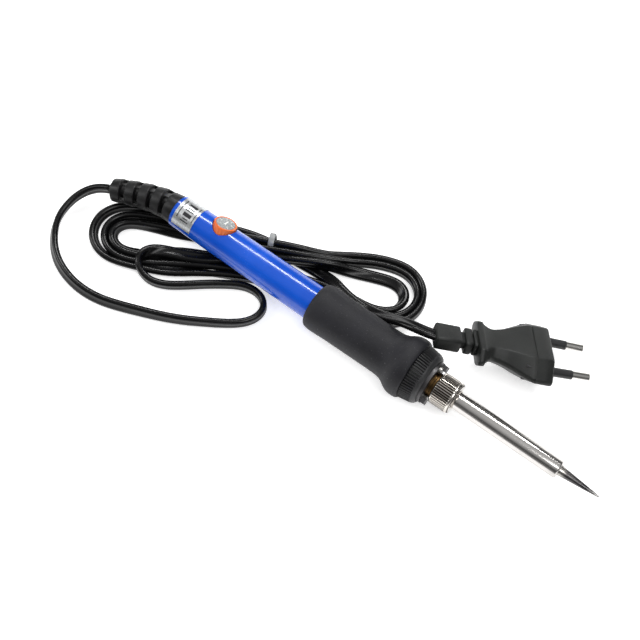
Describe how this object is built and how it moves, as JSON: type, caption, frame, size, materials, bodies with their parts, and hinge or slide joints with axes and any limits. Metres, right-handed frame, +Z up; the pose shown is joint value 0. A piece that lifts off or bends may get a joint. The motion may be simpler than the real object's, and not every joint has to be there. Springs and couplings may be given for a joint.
{
  "type": "soldering iron",
  "caption": "Mains soldering iron with a sunk temperature dial, rubber grip, chrome barrel and conical tip, lying beside its folded flat cord and two-pin plug.",
  "frame": {"origin": "on the surface the iron lies on, midway along the iron from the handle's rear face to the tip, below its axis", "axes": "+X along the iron from its cord end to its tip, +Z up, +Y to the side the plug lies on"},
  "size_m": [0.2671, 0.1114, 0.0284],
  "materials": {
    "blue_plastic": "smooth gloss",
    "label_foil": "satin foil with black print",
    "grip_rubber": "fine matt",
    "black_plastic": "satin",
    "zinc_steel": "dull zinc",
    "screw_steel": "plated",
    "brass": "turned",
    "ceramic": "glazed ceramic",
    "tip_plating": "dull iron plating with a tinned point",
    "barrel_chrome": "bright drawn tube",
    "nut_chrome": "bright knurl",
    "orange_plastic": "satin",
    "dial_print": "printed",
    "pot_blue": "moulded",
    "board_green": "solder mask",
    "resistor_lacquer": "lacquer",
    "capacitor_red": "dipped",
    "lead_insulation": "wire insulation",
    "glass_sleeving": "woven sleeving",
    "clamp_plastic": "moulded",
    "relief_rubber": "satin moulded",
    "cord_pvc": "semi-gloss jacket",
    "tie_plastic": "thin plastic",
    "plug_pvc": "fine satin",
    "pin_nickel": "nickel plate"
  },
  "bodies": {
    "handle": {"handle_tube": "blue_plastic", "rating_label": "label_foil", "grip_sleeve": "grip_rubber", "front_collar": "black_plastic", "front_plate": "zinc_steel", "plate_screws": "screw_steel", "threaded_spigot": "brass", "heater_base": "ceramic", "heater_element": "ceramic", "potentiometer_body": "pot_blue", "circuit_board": "board_green", "triac": "black_plastic", "diac": "resistor_lacquer", "film_capacitor": "capacitor_red", "resistors": "resistor_lacquer", "mains_leads": "lead_insulation", "heater_leads": "glass_sleeving", "clamp_saddle": "blue_plastic", "clamp_bar": "clamp_plastic", "clamp_screws": "screw_steel", "strain_relief": "relief_rubber", "cord_inlet": "cord_pvc", "cord_loop": "cord_pvc", "cord_hank": "cord_pvc", "cord_tail": "cord_pvc", "hank_tie": "tie_plastic", "plug_body": "plug_pvc", "plug_insert": "black_plastic", "plug_pins": "pin_nickel", "pin_sleeves": "black_plastic", "plug_crimps": "brass", "plug_wires": "lead_insulation"},
    "dial": {"dial_knob": "orange_plastic", "dial_face": "dial_print", "potentiometer_shaft": "screw_steel"},
    "tip": {"soldering_tip": "tip_plating"},
    "barrel": {"barrel_tube": "barrel_chrome"},
    "nut": {"barrel_nut": "nut_chrome"}
  },
  "joints": [
    {"name": "dial_turn", "type": "hinge", "parent": "handle", "child": "dial", "pos_m": [-0.08655, 0, 0.014], "axis": [0, 0.5592, 0.829], "range_deg": [-135, 135]},
    {"name": "tip_pull", "type": "slide", "parent": "handle", "child": "tip", "axis": [1, 0, 0], "range_m": [0, 0.06]},
    {"name": "barrel_loosen", "type": "slide", "parent": "tip", "child": "barrel", "axis": [1, 0, 0], "range_m": [0, 0.0055]},
    {"name": "nut_turn", "type": "hinge", "parent": "barrel", "child": "nut", "pos_m": [0.03525, 0, 0.014], "axis": [1, 0, 0], "range_deg": [0, 2000]}
  ],
  "couplings": [
    {"joint": "nut_turn", "follows": "barrel_loosen", "rad_per_m": 6283.2}
  ]
}
